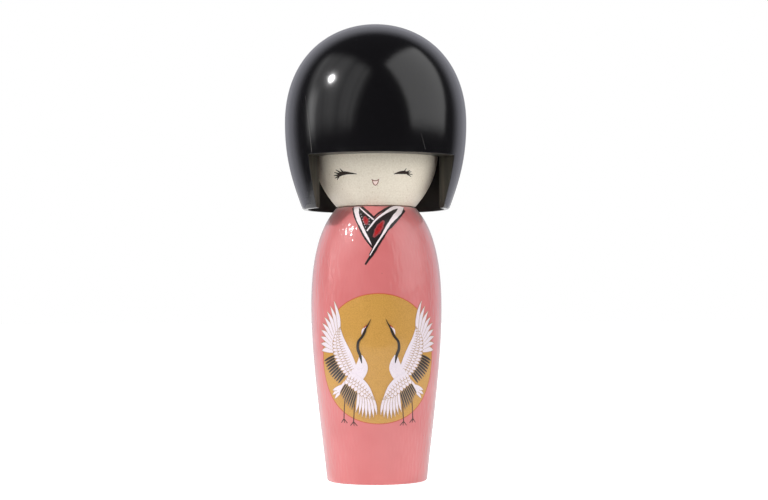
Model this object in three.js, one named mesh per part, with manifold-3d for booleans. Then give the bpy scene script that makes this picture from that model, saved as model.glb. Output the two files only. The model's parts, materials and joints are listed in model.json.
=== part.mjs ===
// A small kokeshi doll, made of five turned wooden pieces.
// The body is a solid egg-like cylinder with a blind socket in its top. A short dowel glued into the
// head stands in that socket, so the head and the hair turn on the body as one.
// The hair is a thick round cap, hollowed from below, with the front of its skirt cut away around the
// face. It is glued over the head, and a second dowel centres it there.
// Millimetres, +Z up, the face towards -Y. The origin is the centre of the flat base.

import * as THREE from 'three';
import { mergeVertices } from 'three/addons/utils/BufferGeometryUtils.js';
import Module from 'manifold-3d';

const wasm = await Module();
wasm.setup();

// ---- driving dimensions ----
const FIT_GAP = 0.3; // air between pieces that touch or are glued
const AROUND = 64; // facets around the large pieces
const AROUND_DOWEL = 32;

const BODY_HEIGHT = 89.3; // base to the joint under the head
const BODY_RADIUS = 21.36; // widest
const BODY_WIDEST_Z = 57;
const BASE_RADIUS = 16.4;
const BASE_EDGE = 0.8; // bevel of the edge that it stands on
const NECK_RADIUS = 12.8; // where the body and the head meet

const FACE_RADIUS = 20.6; // head at its widest
const FACE_WIDEST_Z = 19; // above the neck joint, like all heights on the head
const HEAD_HEIGHT = 22.7;
const HEAD_TOP_EDGE = 1.5;

const HAIR_RADIUS = 29.85;
const HAIR_WIDEST_Z = 27.7;
const HAIR_TOP_Z = 60.2;
const HAIR_RIM_Z = -0.7; // the skirt ends just below the neck joint
const HAIR_RIM_RADIUS = 24.2;
const RIM_EDGE = 0.5;
const HAIR_BORE_RADIUS = 22.3;
const FRINGE_Z = 16; // underside of the fringe over the face
const SIDE_CUT_X = 19.2; // inner edge of each side of the face opening, beside the head
const SIDE_CUT_Y = -10.5;
const SIDE_CUT_FLARE = 34; // degrees that each side opens away from straight ahead
const HAIR_TWIST = 6.4; // degrees that the cap is glued round from the face

const NECK_DOWEL_RADIUS = 4;
const NECK_DOWEL_DOWN = 18; // length inside the body
const NECK_DOWEL_UP = 10; // length inside the head
const CROWN_DOWEL_RADIUS = 3;
const CROWN_DOWEL_DOWN = 7; // length inside the head
const CROWN_DOWEL_UP = 9; // length inside the hair
const HOLE_CLEARANCE = 0.4; // of each dowel in its holes, on the radius and at the ends

// ---- materials ----
const pinkLacquer = new THREE.MeshStandardMaterial({ color: 0xdc8581, roughness: 0.15, metalness: 0 });
const paleWood = new THREE.MeshStandardMaterial({ color: 0xe2dac8, roughness: 0.55, metalness: 0 });
const dowelWood = new THREE.MeshStandardMaterial({ color: 0xc9a878, roughness: 0.7, metalness: 0 });
const blackLacquer = new THREE.MeshStandardMaterial({ color: 0x111012, roughness: 0.12, metalness: 0 });

// ---- making solids ----

// Turns an outline, drawn as radius and height, about the vertical axis. The outlines run down the
// outside, and a lathe's faces point outwards when its points run up it.
function turned(outline, curveSteps, facets) {
  const upwards = outline.getPoints(curveSteps).reverse();
  return new THREE.LatheGeometry(upwards, facets).rotateX(Math.PI / 2);
}

function toSolid(geometry) {
  const bare = geometry.clone();
  bare.deleteAttribute('normal');
  bare.deleteAttribute('uv');
  const merged = mergeVertices(bare, 1e-4);
  const corners = merged.index.array;
  const triangles = [];
  for (let i = 0; i < corners.length; i += 3) {
    const [a, b, c] = corners.subarray(i, i + 3);
    if (a !== b && b !== c && c !== a) triangles.push(a, b, c);
  }
  const mesh = new wasm.Mesh({
    numProp: 3,
    vertProperties: new Float32Array(merged.attributes.position.array),
    triVerts: new Uint32Array(triangles),
  });
  return new wasm.Manifold(mesh);
}

function toGeometry(solid) {
  const mesh = solid.getMesh();
  const geometry = new THREE.BufferGeometry();
  geometry.setAttribute('position', new THREE.BufferAttribute(mesh.vertProperties, 3));
  geometry.setIndex(new THREE.BufferAttribute(mesh.triVerts, 1));
  geometry.computeVertexNormals();
  return geometry;
}

// ---- the body ----
// The outline runs from the socket's floor, over the neck and down the outside to the middle of the base.
function bodyGeometry() {
  const top = BODY_HEIGHT - FIT_GAP / 2;
  const socketRadius = NECK_DOWEL_RADIUS + HOLE_CLEARANCE;
  const socketFloor = BODY_HEIGHT - NECK_DOWEL_DOWN - HOLE_CLEARANCE;
  const outline = new THREE.Path();
  outline.moveTo(0, socketFloor);
  outline.lineTo(socketRadius, socketFloor);
  outline.lineTo(socketRadius, top);
  outline.lineTo(NECK_RADIUS, top);
  outline.bezierCurveTo(18.8, 83, BODY_RADIUS, 72, BODY_RADIUS, BODY_WIDEST_Z);
  outline.bezierCurveTo(BODY_RADIUS, 40, 19.3, 26, BASE_RADIUS, BASE_EDGE);
  outline.lineTo(BASE_RADIUS - BASE_EDGE, 0);
  outline.lineTo(0, 0);
  return turned(outline, 9, AROUND);
}

// ---- the head ----
// Only the face shows, under the fringe. Both ends are drilled for a dowel.
function headGeometry() {
  const bottom = FIT_GAP / 2;
  const neckHole = NECK_DOWEL_RADIUS + HOLE_CLEARANCE;
  const neckHoleRoof = NECK_DOWEL_UP + HOLE_CLEARANCE;
  const crownHole = CROWN_DOWEL_RADIUS + HOLE_CLEARANCE;
  const crownHoleFloor = HEAD_HEIGHT - CROWN_DOWEL_DOWN - HOLE_CLEARANCE;
  const outline = new THREE.Path();
  outline.moveTo(0, crownHoleFloor);
  outline.lineTo(crownHole, crownHoleFloor);
  outline.lineTo(crownHole, HEAD_HEIGHT);
  outline.lineTo(FACE_RADIUS - HEAD_TOP_EDGE, HEAD_HEIGHT);
  outline.lineTo(FACE_RADIUS, HEAD_HEIGHT - HEAD_TOP_EDGE);
  outline.lineTo(FACE_RADIUS, FACE_WIDEST_Z);
  outline.bezierCurveTo(FACE_RADIUS, 9.5, 15.8, 3.4, NECK_RADIUS, bottom);
  outline.lineTo(neckHole, bottom);
  outline.lineTo(neckHole, neckHoleRoof);
  outline.lineTo(0, neckHoleRoof);
  return turned(outline, 9, AROUND);
}

// ---- the hair ----
// The cap is turned whole, with its bore, and then the face opening is cut from the front of the skirt.
function hairGeometry() {
  const roof = HEAD_HEIGHT + FIT_GAP;
  const crownHole = CROWN_DOWEL_RADIUS + HOLE_CLEARANCE;
  const crownHoleRoof = roof + CROWN_DOWEL_UP + HOLE_CLEARANCE;
  const outline = new THREE.Path();
  outline.moveTo(0, HAIR_TOP_Z);
  outline.bezierCurveTo(16, HAIR_TOP_Z, HAIR_RADIUS, 48.7, HAIR_RADIUS, HAIR_WIDEST_Z);
  outline.bezierCurveTo(HAIR_RADIUS, 15.7, 27.3, 8.3, HAIR_RIM_RADIUS, HAIR_RIM_Z + RIM_EDGE);
  outline.lineTo(HAIR_RIM_RADIUS - RIM_EDGE, HAIR_RIM_Z);
  outline.lineTo(HAIR_BORE_RADIUS, HAIR_RIM_Z);
  outline.lineTo(HAIR_BORE_RADIUS, roof);
  outline.lineTo(crownHole, roof);
  outline.lineTo(crownHole, crownHoleRoof);
  outline.lineTo(0, crownHoleRoof);
  const cap = toSolid(turned(outline, 10, AROUND));
  return toGeometry(cap.subtract(faceOpening()));
}

// A wedge that is wider in front than beside the head, from below the skirt up to the fringe.
function faceOpening() {
  const flare = THREE.MathUtils.degToRad(SIDE_CUT_FLARE);
  const alongCut = (distance) => [
    SIDE_CUT_X + distance * Math.sin(flare),
    SIDE_CUT_Y - distance * Math.cos(flare),
  ];
  const [backX, backY] = alongCut(-4);
  const [frontX, frontY] = alongCut(HAIR_RADIUS);
  const plan = new THREE.Shape();
  plan.moveTo(-backX, backY);
  plan.lineTo(-frontX, frontY);
  plan.lineTo(frontX, frontY);
  plan.lineTo(backX, backY);
  const below = HAIR_RIM_Z - 5;
  const wedge = new THREE.ExtrudeGeometry(plan, { depth: FRINGE_Z - below, bevelEnabled: false });
  return toSolid(wedge.translate(0, 0, below));
}

// ---- the dowels ----
// A straight pin with a small chamfer at both ends.
function dowelGeometry(radius, bottom, top) {
  const chamfer = 0.5;
  const outline = new THREE.Path();
  outline.moveTo(0, top);
  outline.lineTo(radius - chamfer, top);
  outline.lineTo(radius, top - chamfer);
  outline.lineTo(radius, bottom + chamfer);
  outline.lineTo(radius - chamfer, bottom);
  outline.lineTo(0, bottom);
  return turned(outline, 1, AROUND_DOWEL);
}

// ---- the doll ----
function piece(name, geometry, material) {
  const mesh = new THREE.Mesh(geometry, material);
  mesh.name = name;
  return mesh;
}

const body = piece('body', bodyGeometry(), pinkLacquer);
const head = piece('head', headGeometry(), paleWood);
const neckDowel = piece(
  'neck_dowel',
  dowelGeometry(NECK_DOWEL_RADIUS, -NECK_DOWEL_DOWN, NECK_DOWEL_UP),
  dowelWood,
);
const crownDowel = piece(
  'crown_dowel',
  dowelGeometry(CROWN_DOWEL_RADIUS, HEAD_HEIGHT - CROWN_DOWEL_DOWN, HEAD_HEIGHT + FIT_GAP + CROWN_DOWEL_UP),
  dowelWood,
);
const hair = piece('hair', hairGeometry(), blackLacquer);
hair.rotation.z = THREE.MathUtils.degToRad(HAIR_TWIST);

// Everything that turns together stands on the neck joint.
const turningHead = new THREE.Group();
turningHead.position.z = BODY_HEIGHT;
turningHead.add(neckDowel, head, crownDowel, hair);

const doll = new THREE.Group();
doll.add(body, turningHead);

export default doll;
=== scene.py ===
import json
import math

import bmesh
import bpy
import numpy as np
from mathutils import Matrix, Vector


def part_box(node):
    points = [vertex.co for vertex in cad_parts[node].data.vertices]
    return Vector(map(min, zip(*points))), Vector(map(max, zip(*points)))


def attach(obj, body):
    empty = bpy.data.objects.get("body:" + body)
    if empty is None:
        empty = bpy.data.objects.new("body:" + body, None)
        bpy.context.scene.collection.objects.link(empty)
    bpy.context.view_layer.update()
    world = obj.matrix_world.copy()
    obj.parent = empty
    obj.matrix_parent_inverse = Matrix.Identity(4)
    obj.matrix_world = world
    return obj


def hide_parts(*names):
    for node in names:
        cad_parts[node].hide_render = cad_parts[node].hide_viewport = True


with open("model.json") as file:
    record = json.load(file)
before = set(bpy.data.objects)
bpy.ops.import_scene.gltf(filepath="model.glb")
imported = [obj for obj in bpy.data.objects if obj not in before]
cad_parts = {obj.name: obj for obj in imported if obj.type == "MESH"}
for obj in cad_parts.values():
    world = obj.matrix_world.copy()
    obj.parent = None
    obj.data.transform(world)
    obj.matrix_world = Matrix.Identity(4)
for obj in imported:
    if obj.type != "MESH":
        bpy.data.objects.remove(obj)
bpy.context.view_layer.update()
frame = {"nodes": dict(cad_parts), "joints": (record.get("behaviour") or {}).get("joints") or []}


# ---- Camera ----
# A portrait lens a little over half a metre away, straight in front and at the height of the doll's
# chest. It looks up very slightly, so that the whole doll stands in the frame.
CAMERA_DISTANCE = 0.5608
CAMERA_HEIGHT = 0.0586
CAMERA_UP = math.radians(1.71)
CAMERA_RIGHT = math.radians(0.256)
CAMERA_ROLL = math.radians(0.25)

lens = bpy.data.cameras.new("portrait_lens")
lens.lens = 80
lens.sensor_width = 36
lens.clip_start = 0.01
camera = bpy.data.objects.new("camera", lens)
camera.location = (0, -CAMERA_DISTANCE, CAMERA_HEIGHT)
camera.rotation_euler = (math.radians(90) + CAMERA_UP, CAMERA_ROLL, -CAMERA_RIGHT)
bpy.context.scene.collection.objects.link(camera)
bpy.context.scene.camera = camera
bpy.context.scene.view_settings.view_transform = "Standard"


# ---- Body ----
# One piece of pale hardwood, turned on a lathe to a rounded, tapering shape with a flat foot. The top is
# bored for the neck dowel. It is sprayed with pink lacquer and then clear gloss, all but the underside.
MM = 0.001
AROUND = 256

body_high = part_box("body")[1]
BODY_TOP = body_high[2] / MM
BODY_RADIUS = body_high[0] / MM
BODY_WIDEST = 57
NECK_RADIUS = 12.8
FOOT_RADIUS = 16.4
FOOT_EDGE = 0.8
FOOT_HOLLOW = 0.15
SOCKET_RADIUS = 4.4
SOCKET_FLOOR = BODY_TOP - 18.25
SOCKET_EDGE = 0.3
TOOL_CIRCLES = 24
BARE, GLOSSY = 1, 0
BODY_SIDE = [
    [(NECK_RADIUS, BODY_TOP + 0.15), (18.8, 83), (BODY_RADIUS, 72), (BODY_RADIUS, BODY_WIDEST)],
    [(BODY_RADIUS, BODY_WIDEST), (BODY_RADIUS, 40), (19.3, 26), (FOOT_RADIUS, FOOT_EDGE)],
]


def bezier(corners, t):
    """The point at t on the cubic curve that these four corners steer."""
    s = 1 - t
    shares = (s ** 3, 3 * s * s * t, 3 * s * t * t, t ** 3)
    return tuple(sum(share * corner[i] for share, corner in zip(shares, corners)) for i in range(2))


def side_line(curves, steps):
    """Radius and height along curves that follow each other."""
    line = [bezier(curves[0], 0)]
    for curve in curves:
        line += [bezier(curve, i / steps) for i in range(1, steps + 1)]
    return line


def arc(radius, height, size, first, last, steps=5):
    """Points of a small round edge, about its centre, with the angles in degrees up from outwards."""
    turns = [math.radians(first + (last - first) * i / steps) for i in range(steps + 1)]
    return [(radius + size * math.cos(a), height + size * math.sin(a)) for a in turns]


def around(radius, turn, height):
    """A point in metres. A turn of 0 faces the front, and grows towards the viewer's right."""
    return Vector((radius * math.sin(turn) * MM, -radius * math.cos(turn) * MM, height * MM))


def new_piece(name, shape, finishes, body, replaced=()):
    """Makes the object of a piece, closed and facing outwards, and hangs it on its body."""
    bmesh.ops.recalc_face_normals(shape, faces=shape.faces)
    mesh = bpy.data.meshes.new(name)
    shape.to_mesh(mesh)
    shape.free()
    mesh.polygons.foreach_set("use_smooth", [True] * len(mesh.polygons))
    mesh.set_sharp_from_angle(angle=math.radians(32))
    piece = bpy.data.objects.new(name, mesh)
    for finish in finishes:
        mesh.materials.append(finish)
    bpy.context.scene.collection.objects.link(piece)
    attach(piece, body)
    if replaced:
        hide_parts(*replaced)
    return piece


def turned(outline, finish_at=lambda radius, height: 0):
    """A solid turned about the vertical axis. The outline starts and ends on the axis."""
    shape = bmesh.new()
    rings = []
    for radius, height in outline:
        if radius < 1e-6:
            rings.append([shape.verts.new(around(0, 0, height))])
        else:
            turns = [2 * math.pi * i / AROUND for i in range(AROUND)]
            rings.append([shape.verts.new(around(radius, turn, height)) for turn in turns])
    for i, (upper, lower) in enumerate(zip(rings, rings[1:])):
        middle = [(a + b) / 2 for a, b in zip(outline[i], outline[i + 1])]
        for j in range(AROUND):
            k = (j + 1) % AROUND
            corners = [upper[j % len(upper)], upper[k % len(upper)]]
            corners += [lower[k % len(lower)], lower[j % len(lower)]]
            face = shape.faces.new(list(dict.fromkeys(corners)))
            face.material_index = finish_at(*middle)
    return shape


def linear(colour):
    """The scene's own colour values for an sRGB hex colour."""
    parts = [int(colour[i:i + 2], 16) / 255 for i in (1, 3, 5)]
    return tuple(p / 12.92 if p <= 0.04045 else ((p + 0.055) / 1.055) ** 2.4 for p in parts) + (1,)


def per(millimetres):
    """The texture scale at which one feature is this wide."""
    return 1 / (millimetres * MM)


def add_node(finish, kind, inputs=None, **settings):
    """Adds a node to a material, a light or a world. An input is given a value, or the output that it is
    linked to."""
    node = finish.node_tree.nodes.new(kind)
    for name, value in settings.items():
        setattr(node, name, value)
    for name, value in (inputs or {}).items():
        if isinstance(value, bpy.types.NodeSocket):
            finish.node_tree.links.new(value, node.inputs[name])
        else:
            node.inputs[name].default_value = value
    return node


def new_finish(name):
    """An empty material, and the coordinates of the piece in metres."""
    finish = bpy.data.materials.new(name)
    finish.use_nodes = True
    finish.node_tree.nodes.clear()
    place = add_node(finish, "ShaderNodeTexCoord").outputs["Object"]
    return finish, place


def surface(finish, inputs):
    """Ends a material with its shader."""
    shader = add_node(finish, "ShaderNodeBsdfPrincipled", inputs)
    add_node(finish, "ShaderNodeOutputMaterial", {"Surface": shader.outputs["BSDF"]})


def pink_lacquer():
    """Sprayed pink lacquer under clear gloss, over close-grained wood. The eye sees a deep wet shine
    whose highlights break up into fine glints, a soft pale bloom at its edges, and a few specks of dust
    caught in the coat."""
    finish, place = new_finish("pink_gloss_lacquer")
    cloud = add_node(finish, "ShaderNodeTexNoise", {"Vector": place, "Scale": per(14), "Detail": 2})
    tint = add_node(finish, "ShaderNodeValToRGB", {"Fac": cloud.outputs["Fac"]})
    low, high = tint.color_ramp.elements
    low.color = linear("#C96666")
    low.position = 0.35
    high.color = linear("#CF6F6F")
    high.position = 0.65
    cells = add_node(finish, "ShaderNodeTexVoronoi", {"Vector": place, "Scale": per(7)})
    speck = add_node(finish, "ShaderNodeMapRange", {
        "Value": cells.outputs["Distance"],
        "From Min": 0.02,
        "From Max": 0.035,
    })
    dusty = add_node(finish, "ShaderNodeMix", {
        "Factor": speck.outputs["Result"],
        "A": linear("#B5605B"),
        "B": tint.outputs["Color"],
    }, data_type="RGBA")
    stretched = add_node(finish, "ShaderNodeMapping", {"Vector": place, "Scale": (1, 1, 0.3)})
    grain = add_node(finish, "ShaderNodeTexNoise", {
        "Vector": stretched.outputs["Vector"],
        "Scale": per(0.85),
        "Detail": 0,
    })
    relief = add_node(finish, "ShaderNodeBump", {
        "Height": grain.outputs["Fac"],
        "Distance": 0.2 * MM,
    })
    surface(finish, {
        "Base Color": dusty.outputs["Result"],
        "Roughness": 0.4,
        "Coat Weight": 1.0,
        "Coat Roughness": 0.05,
        "Coat Normal": relief.outputs["Normal"],
        "Sheen Weight": 0.45,
        "Sheen Roughness": 0.5,
    })
    return finish


def bare_wood(name, light, dark, ring):
    """Bare turned hardwood. The eye sees a dry pale end grain, with the fine circles of the tool."""
    finish, place = new_finish(name)
    growth = add_node(finish, "ShaderNodeTexWave", {
        "Vector": place,
        "Scale": per(ring) / 20,
        "Distortion": 6,
        "Detail": 3,
        "Detail Scale": 2,
    }, wave_type="BANDS", bands_direction="X")
    tint = add_node(finish, "ShaderNodeValToRGB", {"Fac": growth.outputs["Fac"]})
    low, high = tint.color_ramp.elements
    low.color = linear(dark)
    high.color = linear(light)
    pores = add_node(finish, "ShaderNodeTexNoise", {"Vector": place, "Scale": per(0.25), "Detail": 3})
    relief = add_node(finish, "ShaderNodeBump", {
        "Height": pores.outputs["Fac"],
        "Strength": 0.4,
        "Distance": 0.05 * MM,
    })
    surface(finish, {
        "Base Color": tint.outputs["Color"],
        "Roughness": 0.75,
        "Normal": relief.outputs["Normal"],
    })
    return finish


def body_outline():
    """From the floor of the neck socket, over the neck and down the side, to the middle of the foot."""
    top = BODY_TOP + 0.1
    outline = [(0, SOCKET_FLOOR), (SOCKET_RADIUS, SOCKET_FLOOR), (SOCKET_RADIUS, top - SOCKET_EDGE)]
    outline += [(SOCKET_RADIUS + SOCKET_EDGE, top), (NECK_RADIUS - SOCKET_EDGE, top)]
    outline += side_line(BODY_SIDE, 60)[1:]
    outline += arc(FOOT_RADIUS - FOOT_EDGE, FOOT_EDGE, FOOT_EDGE, 0, -90)[1:]
    groove = 0.03
    for i in range(TOOL_CIRCLES):
        radius = (FOOT_RADIUS - FOOT_EDGE - 0.4) * (1 - i / TOOL_CIRCLES)
        outline.append((radius, FOOT_HOLLOW - groove + groove * math.cos(math.pi * i)))
    outline.append((0, FOOT_HOLLOW))
    return outline


def body_finish_at(radius, height):
    """Bare wood in the socket, on the joint face and under the foot."""
    joint = height > BODY_TOP
    socket = radius < SOCKET_RADIUS + SOCKET_EDGE and height > BODY_WIDEST
    foot = radius < FOOT_RADIUS - FOOT_EDGE and height < FOOT_HOLLOW + 0.01
    return BARE if joint or socket or foot else GLOSSY


lacquer = pink_lacquer()
foot_wood = bare_wood("bare_end_grain", "#E0CDA9", "#CDB58C", 1.2)
turned_body = new_piece(
    "turned_body", turned(body_outline(), body_finish_at), [lacquer, foot_wood], "body", ["body"]
)


# ---- Gold sun ----
# A large disc on the front of the body, printed as a transfer in dull gold with a thin red-brown line
# round it. All the painted pictures are films a few hundredths of a millimetre thick, under the gloss.
SUN_RADIUS = 20.8
SUN_LINE = 0.3
SUN_ACROSS = 0.6
SUN_HEIGHT = 40.3
FILM_SINK = 0.05
FILM_LAYER = 0.012


def side_of(curves):
    """A way to place points on a turned side: by their distance round from the front, their height, and
    how far they stand off the surface, all in mm."""
    line = np.array(side_line(curves, 200))[np.argsort([p[1] for p in side_line(curves, 200)])]
    lean = np.arctan2(-np.gradient(line[:, 0]), np.gradient(line[:, 1]))

    def place(across, height, lift=0.0):
        radius = np.interp(height, line[:, 1], line[:, 0])
        up = np.interp(height, line[:, 1], lean)
        return around(radius + lift * math.cos(up), across / radius, height + lift * math.sin(up))

    return place


def film(shape, place, left, right, lift, finish, columns=2, tilt=0.0, crown=0.0):
    """A closed film of paint between two edges that run side by side. It can stand higher at its right
    edge, as a tile does, or along its middle, as a thick brush stroke does."""
    loops = []
    for (x0, z0), (x1, z1) in zip(left, right):
        loop = [place(x0, z0, -FILM_SINK)]
        for i in range(columns + 1):
            s = i / columns
            height = lift + tilt * s + crown * 4 * s * (1 - s)
            loop.append(place(x0 + (x1 - x0) * s, z0 + (z1 - z0) * s, height))
        loop.append(place(x1, z1, -FILM_SINK))
        loops.append([shape.verts.new(point) for point in loop])
    faces = [shape.faces.new(loops[0]), shape.faces.new(loops[-1])]
    for a, b in zip(loops, loops[1:]):
        for i in range(len(a)):
            j = (i + 1) % len(a)
            faces.append(shape.faces.new((a[i], a[j], b[j], b[i])))
    for face in faces:
        face.material_index = finish


def disc(shape, place, across, height, radius, lift, finish):
    """A round film, laid in bands from its lower to its upper edge."""
    bands = max(8, round(2.7 * radius))
    turns = [math.pi * (i / bands - 0.5) * 0.994 for i in range(bands + 1)]
    left = [(across - radius * math.cos(a), height + radius * math.sin(a)) for a in turns]
    right = [(across + radius * math.cos(a), height + radius * math.sin(a)) for a in turns]
    film(shape, place, left, right, lift, finish, columns=max(4, round(2.3 * radius)))


def picture_paint(name, colour, shade, roughness=0.42, fleck=0.35, gloss=0.9):
    """Printed enamel under the clear gloss. The eye sees an even colour with a very fine mottle, and the
    same wet shine that runs over the lacquer around it."""
    finish, place = new_finish(name)
    mottle = add_node(finish, "ShaderNodeTexNoise", {"Vector": place, "Scale": per(fleck), "Detail": 2})
    tint = add_node(finish, "ShaderNodeValToRGB", {"Fac": mottle.outputs["Fac"]})
    low, high = tint.color_ramp.elements
    low.color = linear(shade)
    low.position = 0.3
    high.color = linear(colour)
    high.position = 0.62
    relief = add_node(finish, "ShaderNodeBump", {
        "Height": mottle.outputs["Fac"],
        "Strength": 0.2,
        "Distance": 0.02 * MM,
    })
    surface(finish, {
        "Base Color": tint.outputs["Color"],
        "Roughness": roughness,
        "Normal": relief.outputs["Normal"],
        "Coat Weight": gloss,
        "Coat Roughness": 0.08,
    })
    return finish


on_body = side_of(BODY_SIDE)
gold_paint = picture_paint("dull_gold_print", "#C79542", "#B78737", 0.5)
sun_line_paint = picture_paint("red_brown_line", "#C45A34", "#B5502E")
sun = bmesh.new()
disc(sun, on_body, SUN_ACROSS, SUN_HEIGHT, SUN_RADIUS, FILM_LAYER, 1)
disc(sun, on_body, SUN_ACROSS, SUN_HEIGHT, SUN_RADIUS - SUN_LINE, 2 * FILM_LAYER, 0)
gold_sun = new_piece("gold_sun", sun, [gold_paint, sun_line_paint], "body")


# ---- Cranes ----
# Two cranes, mirror images of each other, dance in front of the sun, printed feather by feather: white
# feathers edged in tan, black wing feathers, and fine dark necks and legs. Each bird is one piece.
WHITE, TAN, BLACK, NECK, LEG, CROWN = range(6)
QUILL_LINE = 0.15
COVER_LINE = 0.14
ROW_STEP = 0.024
STATIONS = 12
SHOULDER = 0.7
QUILL_OVERLAP = 1.35
DARK_OVERLAP = 1.15


def smooth_line(points, step):
    """Points at even steps, about this many mm apart, along a smooth curve through the points given."""
    padded = np.array([points[0]] + list(points) + [points[-1]], float)
    line = []
    for a, b, c, d in zip(padded, padded[1:], padded[2:], padded[3:]):
        for t in np.arange(0, 1, 0.05):
            bend = 2 * a - 5 * b + 4 * c - d + t * (3 * b - a - 3 * c + d)
            line.append(b + t * (c - a + t * bend) / 2)
    line = np.array(line + [padded[-1]])
    lengths = np.concatenate([[0], np.cumsum(np.hypot(*np.diff(line, axis=0).T))])
    stops = np.linspace(0, lengths[-1], max(2, math.ceil(lengths[-1] / step)) + 1)
    return [tuple(float(np.interp(stop, lengths, line[:, i])) for i in (0, 1)) for stop in stops]


def edges_of(line, widths):
    """The two edges of a stroke that follows a line, with its width at even parts of its length."""
    ahead = np.gradient(np.array(line), axis=0)
    ahead /= np.hypot(ahead[:, 0], ahead[:, 1])[:, None]
    half = np.interp(np.linspace(0, 1, len(line)), np.linspace(0, 1, len(widths)), widths) / 2
    left = [(x - v * w, z + u * w) for (x, z), (u, v), w in zip(line, ahead, half)]
    right = [(x + v * w, z - u * w) for (x, z), (u, v), w in zip(line, ahead, half)]
    return left, right


def stroke(shape, place, points, widths, lift, finish, crown=0.0):
    """A brush stroke through the points given, with its width at even parts of its length."""
    left, right = edges_of(smooth_line(points, 0.35), widths)
    film(shape, place, left, right, lift, finish, crown=crown)


def feather(shape, place, root, tip, width, lift, finish, line=QUILL_LINE, bend=0.0, point=0.6):
    """One feather from its root to its tip: a coat of the outline's colour, and a smaller one of its own
    colour on it. It tilts, so that neighbours overlap as tiles do."""
    root, tip = np.array(root), np.array(tip)
    along = tip - root
    sideways = np.array([-along[1], along[0]])
    stations = [math.sin(math.pi / 2 * i / (STATIONS - 1)) for i in range(STATIONS)]
    spread = []
    for t in stations:
        taper = max(0.02, 1 - max(0, (t - 0.35) / 0.65) ** 2)
        spread.append(min(1, SHOULDER + 1.3 * t) * taper ** point)
    for coat, inset, rise in [(TAN, 0.0, 0.0), (finish, line, 0.008)]:
        reach = 1 - 0.8 * inset / math.hypot(*along)
        middle = [tuple(root + along * t * reach + sideways * bend * 4 * t * (1 - t)) for t in stations]
        full = [2 * max(0.05, width / 2 * share - inset) for share in spread]
        left, right = edges_of(middle, full)
        film(shape, place, left, right, lift + rise, coat, tilt=0.014)


def shared(points, count):
    """Points that divide a smooth curve through the points given into equal parts."""
    line = np.array(smooth_line(points, 0.2))
    places = np.linspace(0, len(line) - 1, count)
    return [tuple(np.array([np.interp(p, range(len(line)), line[:, i]) for i in (0, 1)])) for p in places]


def fan(shape, place, roots, tips, count, lift, finish, line=QUILL_LINE, bend=0.0, point=0.6,
        overlap=1.25):
    """A row of feathers side by side, between a line of roots and a line of tips."""
    roots, tips = shared(roots, count), shared(tips, count)
    beside = [(0.6 * r[0] + 0.4 * t[0], 0.6 * r[1] + 0.4 * t[1]) for r, t in zip(roots, tips)]
    for i, (root, tip) in enumerate(zip(roots, tips)):
        first, last = max(i - 1, 0), min(i + 1, count - 1)
        along = np.array(tip) - np.array(root)
        step = (np.array(beside[last]) - np.array(beside[first])) / (last - first)
        pitch = abs(along[0] * step[1] - along[1] * step[0]) / math.hypot(*along)
        feather(shape, place, root, tip, pitch * overlap, lift, finish, line, bend, point)


def between(lead, trail, share):
    """A line that runs at one share of the way from a wing's leading edge to its trailing line."""
    pairs = zip(shared(lead, 12), shared(trail, 12))
    return [(a[0] + (b[0] - a[0]) * share, a[1] + (b[1] - a[1]) * share) for a, b in pairs]


def wing(shape, place, lead, trail, quills, darks, lift, quill_bend):
    """A spread wing: long white quills, short black feathers, three rows of small white feathers that
    cover their roots, and a plain white band along the leading edge."""
    dark_roots, dark_tips, dark_count = darks
    fan(shape, place, dark_roots, dark_tips, dark_count, lift, BLACK, point=0.35, overlap=DARK_OVERLAP)
    quill_roots, quill_tips, quill_count = quills
    fan(shape, place, quill_roots, quill_tips, quill_count, lift, WHITE, bend=quill_bend, point=0.75,
        overlap=QUILL_OVERLAP)
    left, right = shared(lead, 24), shared(trail, 24)
    film(shape, place, left, right, lift + 0.6 * ROW_STEP, TAN, columns=6)
    length = sum(math.dist(a, b) for a, b in zip(right, right[1:]))
    cover_rows = [(0.6, 1.03, 1.1), (0.38, 0.74, 1.0), (0.18, 0.5, 0.95)]
    for row, (first, last, spacing) in enumerate(cover_rows):
        count = round(length / spacing)
        roots, tips = between(lead, trail, first), between(lead, trail, last)
        fan(shape, place, roots, tips, count, lift + (row + 1) * ROW_STEP, WHITE, COVER_LINE, point=0.5)
    inner = between(lead, trail, 0.22)
    film(shape, place, shared(lead, 24), shared(inner, 24), lift + 4 * ROW_STEP, WHITE, columns=3)


def on_sun(across, height, lift=0.0):
    """A place on the body, measured from the middle of the sun."""
    return on_body(across + SUN_ACROSS, height + SUN_HEIGHT, lift + 2 * FILM_LAYER)


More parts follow.
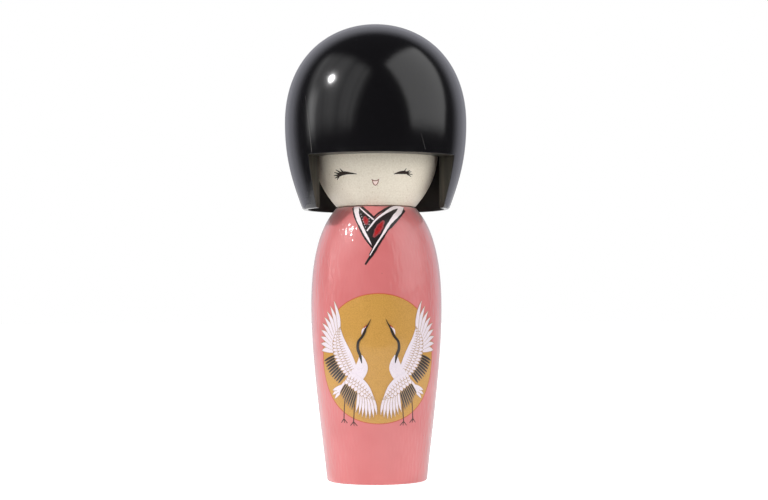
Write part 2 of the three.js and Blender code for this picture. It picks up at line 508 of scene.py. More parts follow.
def crane(side):
    """A standing bird that looks up towards the middle, with its outer wing raised and its inner wing
    hanging half open. A side of 1 draws it on the right, and -1 draws its mirror image on the left. Each
    coat of paint lies a few hundredths of a millimetre over the one before."""
    bird = bmesh.new()

    def place(across, height, lift=0.0):
        return on_sun(side * across, height, lift)

    base = 0.012
    legs = [((8.6, -9), (7.9, -14), (8.2, -20)), ((10.4, -9), (11.3, -13.6), (11.7, -19.2))]
    for hip, knee, heel in legs:
        stroke(bird, place, [hip, knee, heel], [0.8, 0.36, 0.34], base, LEG)
        for reach in (-1.3, -0.2, 1.1):
            toe = (heel[0] + reach, heel[1] - 1.3)
            stroke(bird, place, [heel, toe], [0.32, 0.2], base + 0.01, LEG)
    for tip in [(16.3, -10.2), (16.4, -11.6), (15.4, -12.9)]:
        feather(bird, place, (11.4, -8.6), tip, 1.6, base, WHITE)
    wing(
        bird, place,
        lead=[(6.9, -2.8), (8.2, 0.6), (9.8, 3.8), (11.4, 6.6), (12.6, 9.6)],
        trail=[(11, -5.2), (13.4, -2.6), (15.2, 0.6), (15.9, 4), (15.2, 7.2), (13, 10)],
        quills=([(15.6, 2.4), (15.6, 4.8), (14.8, 7), (13.2, 8.8)],
                [(21.6, 2.4), (21.9, 7.4), (19.9, 12.8), (15.2, 18.4)], 9),
        darks=([(11, -4.8), (13.5, -2.2), (15.3, 0.9)], [(13.8, -7.9), (17.6, -5), (20.2, -0.9)], 10),
        lift=base + ROW_STEP, quill_bend=0.06,
    )
    body_lift = base + 6 * ROW_STEP
    breast = shared([(5.2, 1.2), (3.9, -0.8), (3.4, -3.2), (4.6, -6), (7.6, -8.6), (12, -10.6)], 24)
    back = shared([(6, 1.2), (6.6, -0.6), (7.6, -2.6), (9.2, -4.6), (11, -6.8), (13.4, -9.2)], 24)
    film(bird, place, breast, back, body_lift, WHITE, columns=5)
    neck = [(5.3, -1.4), (5.8, 1), (6.6, 3.2), (6.4, 5.4), (5.1, 7.1), (4.3, 8.6), (4, 9.8)]
    bill = [(4, 9.6), (3.2, 10.9), (2.4, 12.5)]
    nape = [(5.3, 7.8), (4.9, 9.2), (3.9, 10.2)]
    crown = [(4.5, 9.9), (3.7, 10.7)]
    for points, widths, rise, paint in [
        (neck, [0.25, 0.85, 0.9, 0.8, 0.75, 0.8, 0.6], 0.012, NECK),
        (bill, [0.6, 0.35, 0.1], 0.02, NECK),
        (nape, [0.15, 0.6, 0.15], 0.03, WHITE),
        (crown, [0.36, 0.2], 0.04, CROWN),
    ]:
        stroke(bird, place, points, widths, body_lift + rise, paint)
    wing(
        bird, place,
        lead=[(8.8, -4.4), (6.4, -5.4), (4.3, -7), (2.7, -9.2), (1.6, -12)],
        trail=[(10.8, -8), (8.6, -9.4), (6.6, -11), (4.6, -12.2), (2, -12.8)],
        quills=([(6.4, -10.8), (4.9, -11.7), (3.3, -12.1), (2.2, -11.8)],
                [(7.4, -17), (4.9, -18.6), (2.5, -19), (0.6, -17.8)], 7),
        darks=([(10.6, -7.8), (8.8, -9), (7, -10.5)], [(13, -11.2), (11.2, -14), (8.8, -16.2)], 8),
        lift=body_lift + 0.5 * ROW_STEP, quill_bend=-0.04,
    )
    return bird


crane_paints = [
    picture_paint("white_feather_print", "#E6DCE2", "#DACDD8"),
    picture_paint("tan_outline_print", "#B08C60", "#A27E54"),
    picture_paint("black_feather_print", "#2A2625", "#1F1C1B"),
    picture_paint("dark_neck_print", "#2C241D", "#1F1914"),
    picture_paint("brown_leg_print", "#48231C", "#341A15"),
    picture_paint("red_crown_print", "#B23A26", "#A03020"),
]
for crane_name, side in [("left_crane", -1), ("right_crane", 1)]:
    printed_crane = new_piece(crane_name, crane(side), crane_paints, "body")


# ---- Collar ----
# The crossed neckline of the robe, painted by hand over the lacquer at the front of the neck: black
# edges, white linings, and between them a dark cloth with even silver dots and plain red patches.
COLLAR_BLACK, COLLAR_WHITE, COLLAR_RED, COLLAR_SILVER, COLLAR_PINK = range(5)

COLLAR_EASE = 0.3
COLLAR_LIFT = 0.015
COLLAR_COAT = 0.022
LINING_EDGE = 0.55
SILVER_DOT = 0.17

collar = bmesh.new()


def on_neck(across, height, lift=0.0):
    """A place on the body that stays under its top edge, so that no paint reaches past it to the head."""
    past = max(0, height - BODY_TOP + COLLAR_EASE)
    eased = COLLAR_EASE * (1 - math.exp(-past / COLLAR_EASE))
    return on_body(across, min(height, BODY_TOP - COLLAR_EASE) + eased, lift)


def band(points, widths, layer, finish):
    """A painted band of the collar. A higher layer lies over a lower one."""
    line = smooth_line(points, 0.35)
    shares = np.linspace(0, 1, len(line))
    brush = 1 + 0.07 * np.sin(23 * shares + 3 * layer) + 0.05 * np.sin(61 * shares + finish)
    widths = list(np.interp(shares, np.linspace(0, 1, len(widths)), widths) * brush)
    left, right = edges_of(line, widths)
    film(collar, on_neck, left, right, COLLAR_LIFT + COLLAR_COAT * layer, finish, columns=4, crown=0.02)


def lining(points, widths, layer):
    """A white lining with a thin black edge along both sides."""
    band(points, [width + LINING_EDGE for width in widths], layer, COLLAR_BLACK)
    band(points, widths, layer + 1, COLLAR_WHITE)


def cloth(left, right, layer):
    """The dark patterned cloth between two painted edges."""
    lift = COLLAR_LIFT + COLLAR_COAT * layer
    film(collar, on_neck, shared(left, 30), shared(right, 30), lift, COLLAR_BLACK, columns=8)


# the side that lies under
cloth([(-6.1, 88.2), (-5.6, 85.8), (-4.4, 82.4), (-3.2, 79.5), (-1.4, 76.6)],
      [(-4.6, 88.4), (-2.2, 86.4), (-0.4, 84.6), (0.4, 82), (-0.6, 77)], 0)
band([(-7.7, 88.6), (-7.1, 86), (-5.7, 82.9), (-4.4, 80.1), (-2.6, 77.3), (-1.2, 75.5)],
     [0.9, 0.75, 0.7, 0.7, 0.5], 1, COLLAR_BLACK)
lining([(-6.6, 89), (-6.4, 87), (-5.7, 84.7), (-4.4, 81.8), (-3, 79.1), (-1.1, 76.4)],
       [1.8, 1.5, 1.2, 0.9, 0.8, 0.65], 1)
lining([(-5.6, 88.9), (-3.8, 87.2), (-2.2, 85.8), (-0.5, 84.3)], [0.35, 0.45, 0.4], 1)
band([(-4.7, 89), (-2.4, 87), (-0.6, 85.2)], [0.65, 0.6, 0.5], 1, COLLAR_BLACK)
band([(-3.7, 85.7), (-3.35, 84.3), (-2.9, 82.9)], [0.8, 2.1, 0.7], 1, COLLAR_PINK)
band([(-3.6, 85.3), (-3.35, 84.3), (-3, 83.3)], [0.5, 1.45, 0.5], 2, COLLAR_RED)
silver_dots = [(-4.9 + 0.3 * step, 86.4 - 0.85 * step) for step in range(7)]
silver_dots += [(-2.2, 84.9 - 0.95 * step) for step in range(4)]
for across, height in silver_dots:
    disc(collar, on_body, across, height, SILVER_DOT, 0.08, COLLAR_SILVER)
# the side that lies over
cloth([(5.8, 88.3), (2.2, 86.2), (0, 84.2), (-1.6, 82.2), (-2.6, 80), (-1.5, 76.6)],
      [(7.6, 87.5), (5.7, 85), (3.8, 82.4), (2.2, 79.9), (0.7, 77.4), (-0.8, 75.1)], 3)
band([(10, 87.8), (6.8, 84.5), (5.1, 82.5), (3.5, 81), (2, 78.5), (0.4, 76), (-1.1, 73.6), (-2.6, 71.5),
      (-3.5, 70.1)], [0.9, 1.0, 0.8, 0.75, 0.85, 1.0, 0.5], 3, COLLAR_BLACK)
lining([(8.6, 89), (7.9, 87.3), (5.8, 85.1), (3.8, 82.5), (2.3, 80), (0.6, 77.4), (-0.8, 75.1), (-2, 73)],
       [2.2, 1.7, 1.2, 0.8, 0.55, 0.45, 0.25], 4)
lining([(7.4, 89), (5.1, 88.1), (2.1, 86.2), (-0.1, 84.4), (-1.5, 82.7), (-2.9, 80.9)],
       [1.4, 0.95, 0.6, 0.55, 0.4], 4)
band([(5.1, 89), (3, 88), (0.5, 86.4), (-0.9, 85)], [0.7, 0.6, 0.5], 4, COLLAR_BLACK)
band([(2.5, 84.2), (1.4, 82.4), (0.4, 80.7), (-0.8, 78.8)], [0.7, 2.15, 2.15, 0.6], 4, COLLAR_PINK)
band([(2.2, 83.7), (1.3, 82.3), (0.3, 80.7), (-0.5, 79.3)], [0.4, 1.35, 1.35, 0.4], 5, COLLAR_RED)
collar_paints = [
    picture_paint("black_enamel", "#1B0F11", "#13090B", 0.5, gloss=0.5),
    picture_paint("white_enamel", "#F0E5E7", "#E6D9DC"),
    picture_paint("red_enamel", "#B5141A", "#7E0C12", fleck=0.6),
    picture_paint("silver_enamel", "#B5B1B4", "#8E898D"),
    picture_paint("dusty_pink_enamel", "#9C4448", "#7E3236"),
]
painted_collar = new_piece("painted_collar", collar, collar_paints, "body")


# ---- Head ----
# A turned knob of pale, very close-grained wood, sealed with a thin satin coat and not coloured. It
# stands on the neck dowel and turns on the body. Only the face shows, under the fringe.
NECK_JOINT = frame["joints"][0]["pos_m"][2] / MM
FACE_RADIUS = 20.6
FACE_WIDEST = NECK_JOINT + 19
HEAD_TOP = NECK_JOINT + 22.7
HEAD_EDGE = 1.5
CROWN_HOLE = 3.4
HOLE_EDGE = 0.2
HEAD_SIDE = [
    [(FACE_RADIUS, HEAD_TOP - HEAD_EDGE), (FACE_RADIUS, HEAD_TOP - 2), (FACE_RADIUS, FACE_WIDEST + 1),
     (FACE_RADIUS, FACE_WIDEST)],
    [(FACE_RADIUS, FACE_WIDEST), (FACE_RADIUS, NECK_JOINT + 9.5), (15.8, NECK_JOINT + 3.4),
     (NECK_RADIUS, NECK_JOINT)],
]


def face_wood():
    """Pale wood under a thin satin coat. The eye sees a warm ivory with a fine sandy mottle, a few darker
    specks and a soft broad sheen."""
    finish, place = new_finish("pale_face_wood")
    mottle = add_node(finish, "ShaderNodeTexNoise", {"Vector": place, "Scale": per(0.5), "Detail": 4})
    tint = add_node(finish, "ShaderNodeValToRGB", {"Fac": mottle.outputs["Fac"]})
    low, high = tint.color_ramp.elements
    low.color = linear("#DDD3BF")
    low.position = 0.3
    high.color = linear("#EAE2D0")
    high.position = 0.7
    stretched = add_node(finish, "ShaderNodeMapping", {"Vector": place, "Scale": (1, 1, 0.3)})
    cells = add_node(finish, "ShaderNodeTexVoronoi", {
        "Vector": stretched.outputs["Vector"],
        "Scale": per(1.3),
    })
    speck = add_node(finish, "ShaderNodeMapRange", {
        "Value": cells.outputs["Distance"],
        "From Min": 0.06,
        "From Max": 0.16,
    })
    speckled = add_node(finish, "ShaderNodeMix", {
        "Factor": speck.outputs["Result"],
        "A": linear("#CDBFA4"),
        "B": tint.outputs["Color"],
    }, data_type="RGBA")
    relief = add_node(finish, "ShaderNodeBump", {
        "Height": mottle.outputs["Fac"],
        "Strength": 0.3,
        "Distance": 0.03 * MM,
    })
    surface(finish, {
        "Base Color": speckled.outputs["Result"],
        "Roughness": 0.5,
        "Normal": relief.outputs["Normal"],
        "Coat Weight": 0.25,
        "Coat Roughness": 0.3,
    })
    return finish


def head_outline():
    """From the floor of the crown hole, over the top and down the face, to the roof of the neck hole."""
    crown_floor = HEAD_TOP - 7.4
    neck_roof = NECK_JOINT + 10.4
    under = NECK_JOINT + 0.1
    outline = [(0, crown_floor), (CROWN_HOLE, crown_floor), (CROWN_HOLE, HEAD_TOP - HOLE_EDGE)]
    outline += [(CROWN_HOLE + HOLE_EDGE, HEAD_TOP), (FACE_RADIUS - HEAD_EDGE, HEAD_TOP)]
    outline += side_line(HEAD_SIDE, 48)[:-1]
    outline += [(NECK_RADIUS, under + HOLE_EDGE), (NECK_RADIUS - HOLE_EDGE, under)]
    outline += [(SOCKET_RADIUS + HOLE_EDGE, under), (SOCKET_RADIUS, under + HOLE_EDGE)]
    outline += [(SOCKET_RADIUS, neck_roof), (0, neck_roof)]
    return outline


face = face_wood()
turned_head = new_piece("turned_head", turned(head_outline()), [face], "head", ["head"])


# ---- Face ----
# Two closed, smiling eyes with lashes and a small mouth, painted with a fine brush straight on the wood.
ON_FACE_LIFT = 0.02
EYE_INK, MOUTH_LINE, MOUTH_FILL = range(3)

features = bmesh.new()
on_head = side_of(HEAD_SIDE)


def on_face(across, height, lift=0.0):
    """A place on the face, with the height measured up from the neck."""
    return on_head(across, NECK_JOINT + height, lift)


def drawn(points, widths, finish, lift=ON_FACE_LIFT):
    """A brush stroke on the face."""
    stroke(features, on_face, points, widths, lift, finish, crown=0.015)


drawn([(-6.2, 9.8), (-8.4, 10.05), (-10.3, 10.2), (-12, 10), (-13.3, 9.3)],
      [0.18, 0.45, 0.75, 1.15, 1.35, 0.8], EYE_INK)
for start, tip in [
    ((-10.9, 10.3), (-12.3, 11.7)),
    ((-11.7, 10.2), (-14, 11.4)),
    ((-12.4, 10), (-14.7, 10.6)),
    ((-12.9, 9.7), (-15, 9.6)),
    ((-12.9, 9.3), (-14.6, 8.8)),
    ((-12.8, 9.3), (-13.7, 8.2)),
]:
    drawn([start, tip], [0.6, 0.42, 0.16], EYE_INK)
drawn([(5.8, 9.7), (7.5, 10.1), (9.4, 10.3), (11, 10.1)], [0.18, 0.6, 1.0, 1.05, 0.6], EYE_INK)
for start, tip in [
    ((9.3, 10.4), (10.2, 11.6)),
    ((10, 10.3), (11.6, 11)),
    ((10.5, 10.3), (12.2, 10.6)),
    ((10.7, 10), (12.7, 9.7)),
    ((10.5, 9.9), (12.2, 9)),
]:
    drawn([start, tip], [0.5, 0.3, 0.14], EYE_INK)
drawn([(-0.15, 7.5), (-0.15, 6.4)], [1.9, 1.5, 0.7], MOUTH_FILL, 0.008)
drawn([(-1.4, 8.05), (-0.85, 7.7), (-0.15, 7.6), (0.5, 7.75), (1.1, 8.15)],
      [0.2, 0.3, 0.26, 0.3, 0.2], MOUTH_LINE)
drawn([(-1.1, 7.75), (-0.9, 6.95), (-0.5, 6.35), (-0.15, 6.2), (0.25, 6.4), (0.65, 7), (0.85, 7.8)],
      [0.24, 0.3, 0.27, 0.3, 0.24], MOUTH_LINE)
face_paints = [
    picture_paint("eye_ink", "#2A1B0E", "#1D1309", 0.7, gloss=0),
    picture_paint("mouth_line_paint", "#85503F", "#794536", 0.6, gloss=0.1),
    picture_paint("mouth_fill_paint", "#F2DDD5", "#ECD2C9", 0.6, gloss=0.1),
]
painted_face = new_piece("painted_face", features, face_paints, "head")


# ---- Hair ----
# A thick cap turned from one block, bored from below for the head and glued over it. The front of its
# skirt is sawn away around the face with two slanting cuts and one level cut, and then it is sprayed
# with black lacquer and polished. The sawn faces stay thinly coated, so the wood shows through a little.
HAIR_RADIUS = 29.85
HAIR_TOP = NECK_JOINT + 60.2
HAIR_WIDEST = NECK_JOINT + 27.7
HAIR_RIM = NECK_JOINT - 0.7
HAIR_RIM_RADIUS = 24.2
RIM_EDGE = 0.5
HAIR_BORE = 22.3
HAIR_ROOF = HEAD_TOP + 0.3
CROWN_HOLE_ROOF = HAIR_ROOF + 9.4
FRINGE = NECK_JOINT + 16
SIDE_CUT = (19.2, 10.5)
SIDE_CUT_FLARE = math.radians(34)
HAIR_TWIST = math.radians(6.4)
HAIR_CROWN = [(0, HAIR_TOP), (16, HAIR_TOP), (HAIR_RADIUS, NECK_JOINT + 48.7), (HAIR_RADIUS, HAIR_WIDEST)]
HAIR_SKIRT = [(HAIR_RADIUS, HAIR_WIDEST), (HAIR_RADIUS, NECK_JOINT + 15.7), (27.3, NECK_JOINT + 8.3),
              (HAIR_RIM_RADIUS, HAIR_RIM + RIM_EDGE)]
GLOSS, SAWN, BORE = range(3)
COLUMNS_FRONT = 80
COLUMNS_BACK = 184
SAWN_ROWS = 8


def cut_turn(radius):
    """How far round from the front the slanting side cut meets a circle of this radius."""
    x, y = SIDE_CUT
    along = x * math.sin(SIDE_CUT_FLARE) + y * math.cos(SIDE_CUT_FLARE)
    reach = math.sqrt(along ** 2 - x ** 2 - y ** 2 + radius ** 2) - along
    return math.atan2(x + reach * math.sin(SIDE_CUT_FLARE), y + reach * math.cos(SIDE_CUT_FLARE))


def hair_ring(shape, radius, height, corner, front):
    """Points of a circle, from one corner of the face opening round the back to the other, and then
    across the front where the ring is whole."""
    turns = [corner + (2 * math.pi - 2 * corner) * i / COLUMNS_BACK for i in range(COLUMNS_BACK + 1)]
    if front:
        turns += [-corner + 2 * corner * i / COLUMNS_FRONT for i in range(1, COLUMNS_FRONT)]
    return [shape.verts.new(around(radius, turn + HAIR_TWIST, height)) for turn in turns]


def skin(shape, upper, lower, finish):
    """Faces between two rows of points. A ring that lacks the front is joined along the back only."""
    count = min(len(upper), len(lower))
    whole = count > COLUMNS_BACK + 1
    for i in range(count if whole else count - 1):
        j = (i + 1) % count
        shape.faces.new((upper[i], upper[j], lower[j], lower[i])).material_index = finish


def across_front(ring):
    """The front part of a whole ring, from corner to corner."""
    return [ring[COLUMNS_BACK]] + ring[COLUMNS_BACK + 1:] + [ring[0]]


def carved_hair():
    """The cap, in rows from its crown down the outside, under the rim and up the bore to its roof."""
    shape = bmesh.new()
    above = side_line([HAIR_CROWN], 56)[1:]
    skirt = side_line([HAIR_SKIRT], 240)
    fringe_step = next(i for i, (r, z) in enumerate(skirt) if z <= FRINGE)
    fringe_radius = float(np.interp(-FRINGE, [-z for r, z in skirt], [r for r, z in skirt]))
    above += skirt[6:fringe_step - 3:6] + [(fringe_radius, FRINGE)]
    below = skirt[fringe_step + 5::6]
    below = [p for p in below if p[1] > HAIR_RIM + RIM_EDGE + 0.4] + [skirt[-1]]
    fringe_corner = cut_turn(fringe_radius)
    crown = shape.verts.new(around(0, 0, HAIR_TOP))
    rings = [hair_ring(shape, r, z, fringe_corner, True) for r, z in above]
    for i in range(len(rings[0])):
        shape.faces.new((crown, rings[0][i], rings[0][(i + 1) % len(rings[0])])).material_index = GLOSS
    for upper, lower in zip(rings, rings[1:]):
        skin(shape, upper, lower, GLOSS)
    outside = [rings[-1][:COLUMNS_BACK + 1]]
    outside += [hair_ring(shape, r, z, cut_turn(r), False) for r, z in below]
    rim = HAIR_RIM_RADIUS - RIM_EDGE
    outside.append(hair_ring(shape, rim, HAIR_RIM, cut_turn(rim), False))
    for upper, lower in zip(outside, outside[1:]):
        skin(shape, upper, lower, GLOSS)

    bore_corner = cut_turn(HAIR_BORE)
    bore_fringe = hair_ring(shape, HAIR_BORE, FRINGE, bore_corner, True)
    inside = [bore_fringe[:COLUMNS_BACK + 1]]
    inside += [hair_ring(shape, HAIR_BORE, z, bore_corner, False) for r, z in below]
    inside.append(hair_ring(shape, HAIR_BORE, HAIR_RIM, bore_corner, False))
    for upper, lower in zip(inside, inside[1:]):
        skin(shape, lower, upper, BORE)
    skin(shape, outside[-1], inside[-1], GLOSS)
    sawn_face(shape, across_front(rings[-1]), across_front(bore_fringe))
    for side in (0, -1):
        sawn_face(shape, [row[side] for row in outside], [row[side] for row in inside])

    roof = [(HAIR_BORE, HAIR_ROOF), (CROWN_HOLE, HAIR_ROOF), (CROWN_HOLE, CROWN_HOLE_ROOF)]
    hidden = [bore_fringe] + [hair_ring(shape, r, z, bore_corner, True) for r, z in roof]
    for lower, upper in zip(hidden, hidden[1:]):
        skin(shape, lower, upper, BORE)
    top = shape.verts.new(around(0, 0, CROWN_HOLE_ROOF))
    for i in range(len(hidden[-1])):
        shape.faces.new((top, hidden[-1][i], hidden[-1][(i + 1) % len(hidden[-1])])).material_index = BORE
    bmesh.ops.remove_doubles(shape, verts=shape.verts, dist=1e-7)
    return shape


def sawn_face(shape, outer, inner):
    """A sawn face of the opening, from the outside of the cap to its bore."""
    lines = [outer]
    for k in range(1, SAWN_ROWS):
        lines.append([shape.verts.new(a.co.lerp(b.co, k / SAWN_ROWS)) for a, b in zip(outer, inner)])
    lines.append(inner)
    for a, b in zip(lines, lines[1:]):
        for i in range(len(a) - 1):
            shape.faces.new((a[i], a[i + 1], b[i + 1], b[i])).material_index = SAWN


def black_lacquer():
    """Polished black lacquer. The eye sees a deep black mirror with a faint ripple and level hairlines
    from polishing, and a little dust that catches the light."""
    finish, place = new_finish("polished_black_lacquer")
    cells = add_node(finish, "ShaderNodeTexVoronoi", {"Vector": place, "Scale": per(3.2)})
    dust = add_node(finish, "ShaderNodeMapRange", {
        "Value": cells.outputs["Distance"],
        "From Min": 0.012,
        "From Max": 0.03,
    })
    dusty = add_node(finish, "ShaderNodeMix", {
        "Factor": dust.outputs["Result"],
        "A": linear("#54504E"),
        "B": linear("#0C0B0D"),
    }, data_type="RGBA")
    ripple = add_node(finish, "ShaderNodeTexNoise", {"Vector": place, "Scale": per(9), "Detail": 2})
    swell = add_node(finish, "ShaderNodeBump", {
        "Height": ripple.outputs["Fac"],
        "Strength": 0.35,
        "Distance": 0.12 * MM,
    })
    level = add_node(finish, "ShaderNodeMapping", {"Vector": place, "Scale": (0.03, 0.03, 1)})
    polishing = add_node(finish, "ShaderNodeTexNoise", {
        "Vector": level.outputs["Vector"],
        "Scale": per(0.7),
        "Detail": 4,
        "Roughness": 0.7,
    })
    hairlines = add_node(finish, "ShaderNodeBump", {
        "Height": polishing.outputs["Fac"],
        "Strength": 0.5,
        "Distance": 0.02 * MM,
        "Normal": swell.outputs["Normal"],
    })
    surface(finish, {
        "Base Color": dusty.outputs["Result"],
        "Roughness": 0.16,
        "Normal": hairlines.outputs["Normal"],
        "Coat Weight": 0.3,
        "Coat Roughness": 0.06,
        "Coat Normal": hairlines.outputs["Normal"],
    })
    return finish


def sawn_lacquer():
    """Wood that was sawn and then thinly sprayed. The eye sees a dull dark olive-brown with the upright
    streaks of the saw and the grain."""
    finish, place = new_finish("thinly_sprayed_saw_cut")
    stretched = add_node(finish, "ShaderNodeMapping", {"Vector": place, "Scale": (1, 1, 0.06)})
    streaks = add_node(finish, "ShaderNodeTexNoise", {
        "Vector": stretched.outputs["Vector"],
        "Scale": per(0.8),
        "Detail": 4,
    })
    tint = add_node(finish, "ShaderNodeValToRGB", {"Fac": streaks.outputs["Fac"]})
    low, high = tint.color_ramp.elements
    low.color = linear("#12110D")
    low.position = 0.35
    high.color = linear("#38352B")
    high.position = 0.72
    relief = add_node(finish, "ShaderNodeBump", {
        "Height": streaks.outputs["Fac"],
        "Strength": 0.5,
        "Distance": 0.06 * MM,
    })
    surface(finish, {
        "Base Color": tint.outputs["Color"],
        "Roughness": 0.38,
        "Normal": relief.outputs["Normal"],
    })
    return finish


def bore_shade():
    """The bored inside, where only overspray reached. The eye sees dull, nearly black wood with faint
    turning marks."""
    finish, place = new_finish("oversprayed_bore")
    rings = add_node(finish, "ShaderNodeTexWave", {
        "Vector": place,
        "Scale": per(1.2) / 20,
        "Distortion": 0.6,
    }, wave_type="BANDS", bands_direction="Z")
    tint = add_node(finish, "ShaderNodeValToRGB", {"Fac": rings.outputs["Fac"]})
    low, high = tint.color_ramp.elements
    low.color = linear("#0B0A08")
    high.color = linear("#14110E")
    relief = add_node(finish, "ShaderNodeBump", {
        "Height": rings.outputs["Fac"],
        "Strength": 0.4,
        "Distance": 0.05 * MM,
    })
    surface(finish, {
        "Base Color": tint.outputs["Color"],
        "Roughness": 0.6,
        "Normal": relief.outputs["Normal"],
    })
    return finish


turned_hair = new_piece(
    "turned_hair", carved_hair(), [black_lacquer(), sawn_lacquer(), bore_shade()], "head", ["hair"]
)
worn_edges = turned_hair.modifiers.new("worn_edges", "BEVEL")
worn_edges.width = 0.28 * MM
worn_edges.segments = 3
worn_edges.limit_method = "ANGLE"
worn_edges.angle_limit = math.radians(38)
worn_edges.harden_normals = True


# ---- Scuffs and a painted streak on the hair ----
# Two hairline scuffs in the black lacquer that rise from the fringe, where the cap was handled. They are
# dull grey marks in the polish, one hundredth of a millimetre proud. The long one on the left also stands
# for a painted streak of reflected light up the side of the cap.
on_hair = side_of([HAIR_CROWN, HAIR_SKIRT])
scuff_and_streak_films = bmesh.new()
long_scuff_and_painted_streak = [(-22.5, FRINGE + 0.5), (-23.1, FRINGE + 6), (-24, FRINGE + 12), (-25.3, FRINGE + 18.5)]
short_scuff = [(16.5, FRINGE + 1), (15.7, FRINGE + 3.5), (14.9, FRINGE + 5.8)]
SCUFF_LIFT = 0.01
# the long grey line is partly a scuff and partly a painted streak of reflected light
stroke(scuff_and_streak_films, on_hair, long_scuff_and_painted_streak, [0.2, 0.13, 0.08, 0.05], SCUFF_LIFT, 0)
stroke(scuff_and_streak_films, on_hair, short_scuff, [0.12, 0.08, 0.04], SCUFF_LIFT, 0)
scuff_and_streak_paint = picture_paint("scuffed_lacquer_and_painted_streak", "#5C5958", "#3A3836", 0.5)
hair_scuffs_and_painted_streak = new_piece("hair_scuffs_and_painted_streak", scuff_and_streak_films, [scuff_and_streak_paint], "head")


# ---- Dowels ----
# Two short pins of bare birch. One is glued in the head and turns in the body's socket, and the other
# centres the hair on the head.
birch = bare_wood("bare_birch_dowel", "#D2B283", "#B9966A", 1.0)
for dowel in ("neck_dowel", "crown_dowel"):
    node = frame["nodes"][dowel]
    node.data.materials.clear()
    node.data.materials.append(birch)


# ---- Floor and light ----
# A plain white studio table, made of two sheets of paper. A small hard lamp from the upper left makes the
# sharp highlights. A softbox at the right, and a pleated reflector and a strip at the left, make the
# broad ones. Three fills that are not reflected brighten the pink and the face.
AIM = Vector((0, 0, 90 * MM))


def white_paper(name, glow, mirrored_glow, seen_glow):
    """White studio paper. The eye sees it as an even, bright white with hardly any shadow. It glows by
    different amounts where it lights things, where it is mirrored in them and where it is seen."""
    finish, place = new_finish(name)
    fibre = add_node(finish, "ShaderNodeTexNoise", {"Vector": place, "Scale": per(4), "Detail": 3})
    tint = add_node(finish, "ShaderNodeValToRGB", {"Fac": fibre.outputs["Fac"]})
    low, high = tint.color_ramp.elements
    low.color = linear("#E6E6E6")
    high.color = linear("#F0F0F0")
    rays = add_node(finish, "ShaderNodeLightPath")
    unseen = add_node(finish, "ShaderNodeMapRange", {
        "Value": rays.outputs["Is Glossy Ray"],
        "To Min": glow,
        "To Max": mirrored_glow,
    })
    strength = add_node(finish, "ShaderNodeMapRange", {
        "Value": rays.outputs["Is Camera Ray"],
        "To Min": unseen.outputs["Result"],
        "To Max": seen_glow,
    })
    surface(finish, {
        "Base Color": tint.outputs["Color"],
        "Roughness": 0.9,
        "Emission Color": linear("#FFFFFF"),
        "Emission Strength": strength.outputs["Result"],
    })
    return finish


def floor_sheet(name, half, height, glows):
    """A square sheet of paper under the doll. Its three glows are those that white_paper takes."""
    mesh = bpy.data.meshes.new(name)
    corners = [(-half, -half, height), (half, -half, height), (half, half, height), (-half, half, height)]
    mesh.from_pydata(corners, [], [(0, 1, 2, 3)])
    mesh.materials.append(white_paper(name + "_paper", *glows))
    sheet = bpy.data.objects.new(name, mesh)
    bpy.context.scene.collection.objects.link(sheet)
    return sheet


floor_sheet("near_floor", half=0.3, height=0, glows=(0.5, 0.1, 0.8))
far_sheet = floor_sheet("far_floor", half=4, height=-1 * MM, glows=(0, 0, 1.0))
far_sheet.visible_glossy = False
far_sheet.visible_diffuse = False


def fade_edges(light, soft, pleats):
    """Makes an area light brightest in its middle, as a cloth diffuser is, with upright folds in it."""
    light.use_nodes = True
    tree = light.node_tree
    tree.nodes.clear()
    across = add_node(light, "ShaderNodeSeparateXYZ", {
        "Vector": add_node(light, "ShaderNodeNewGeometry").outputs["Parametric"],
    })
    shares = []
    for axis in "XY":
        away = add_node(light, "ShaderNodeMath", {0: across.outputs[axis], 1: 0.5}, operation="SUBTRACT")
        size = add_node(light, "ShaderNodeMath", {0: away.outputs["Value"]}, operation="ABSOLUTE")
        share = add_node(light, "ShaderNodeMapRange", {
            "Value": size.outputs["Value"],
            "From Min": 0.5,
            "From Max": 0.5 - soft,
        }, interpolation_type="SMOOTHSTEP")
        shares.append(share.outputs["Result"])
    glow = add_node(light, "ShaderNodeMath", {0: shares[0], 1: shares[1]}, operation="MULTIPLY")
    folds = add_node(light, "ShaderNodeTexNoise", {
        "W": across.outputs["X"],
        "Scale": 9,
    }, noise_dimensions="1D")
    fold = add_node(light, "ShaderNodeMapRange", {
        "Value": folds.outputs["Fac"],
        "From Min": 0.3,
        "From Max": 0.7,
        "To Min": 1 - pleats,
        "To Max": 1 + pleats,
    })
    pleated = add_node(light, "ShaderNodeMath", {
        0: glow.outputs["Value"],
        1: fold.outputs["Result"],
    }, operation="MULTIPLY")
    emission = add_node(light, "ShaderNodeEmission", {"Strength": pleated.outputs["Value"]})
    add_node(light, "ShaderNodeOutputLight", {"Surface": emission.outputs["Emission"]})


def lamp(name, turn, rise, distance, width, height, watts, shape="RECTANGLE", in_reflections=True,
         soft=0, pleats=0):
    """An area light that faces the doll. A turn of 0 is in front, and a positive turn is to the right.
    The turn and the rise are in degrees, and the distance and the sizes in metres."""
    light = bpy.data.lights.new(name, "AREA")
    if soft:
        fade_edges(light, soft, pleats)
    light.shape = shape
    light.size = width
    light.size_y = height
    light.energy = watts
    holder = bpy.data.objects.new(name, light)
    turn, rise = math.radians(turn), math.radians(rise)
    way = Vector((math.sin(turn) * math.cos(rise), -math.cos(turn) * math.cos(rise), math.sin(rise)))
    holder.location = AIM + way * distance
    holder.rotation_euler = (-way).to_track_quat("-Z", "Y").to_euler()
    holder.visible_camera = False
    holder.visible_glossy = in_reflections
    bpy.context.scene.collection.objects.link(holder)


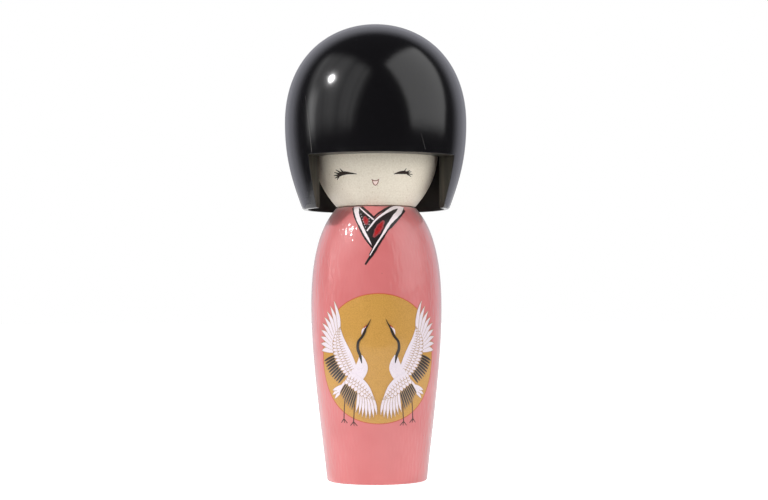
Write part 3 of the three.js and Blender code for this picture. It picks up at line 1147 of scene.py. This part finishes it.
lamp("key_lamp", -67, 37, 0.9, 0.1, 0.1, 2.4, shape="DISK")
lamp("key_fill", -67, 37, 0.88, 0.1, 0.1, 2.7, shape="DISK", in_reflections=False)
lamp("right_softbox", 70, 35, 1.1, 1.4, 1.6, 8.5, soft=0.12)
lamp("left_reflector", -60, 32, 1.25, 2.2, 1.8, 7.5, soft=0.2, pleats=0.4)
lamp("left_strip", -88, 12, 1.2, 0.42, 0.8, 1.5, soft=0.4, pleats=0.5)
lamp("front_fill", -12, 22, 1.4, 1.0, 1.0, 3, in_reflections=False)
lamp("right_fill", 62, 14, 1.2, 0.8, 0.8, 3.8, in_reflections=False)

studio = bpy.data.worlds.new("studio")
bpy.context.scene.world = studio
studio.use_nodes = True
studio.node_tree.nodes.clear()

# The room is dim in front and grey behind, and the white table shows where it runs on beyond the doll.
sky_way = add_node(studio, "ShaderNodeTexCoord").outputs["Generated"]
sky_parts = add_node(studio, "ShaderNodeSeparateXYZ", {"Vector": sky_way})
backdrop = add_node(studio, "ShaderNodeValToRGB", {"Fac": sky_parts.outputs["Y"]})
backdrop.color_ramp.elements[0].position = 0.4
backdrop.color_ramp.elements[0].color = (0.048, 0.048, 0.053, 1)
backdrop.color_ramp.elements[1].color = (0.32, 0.32, 0.35, 1)
for position in (0.64, 0.86):
    backdrop.color_ramp.elements.new(position).color = (0.6, 0.6, 0.67, 1)
below = add_node(studio, "ShaderNodeMapRange", {"Value": sky_parts.outputs["Z"], "From Max": -0.05})
behind = add_node(studio, "ShaderNodeMapRange", {
    "Value": sky_parts.outputs["Y"],
    "From Min": 0.9,
    "From Max": 0.98,
    "To Max": below.outputs["Result"],
})
table_beyond = add_node(studio, "ShaderNodeMix", {
    "Factor": behind.outputs["Result"],
    "A": backdrop.outputs["Color"],
    "B": linear("#FFFFFF"),
}, data_type="RGBA")
rays = add_node(studio, "ShaderNodeLightPath")
seen = add_node(studio, "ShaderNodeMix", {
    "Factor": rays.outputs["Is Camera Ray"],
    "A": table_beyond.outputs["Result"],
    "B": linear("#FFFFFF"),
}, data_type="RGBA")
sky = add_node(studio, "ShaderNodeBackground", {"Color": seen.outputs["Result"]})
add_node(studio, "ShaderNodeOutputWorld", {"Surface": sky.outputs["Background"]})
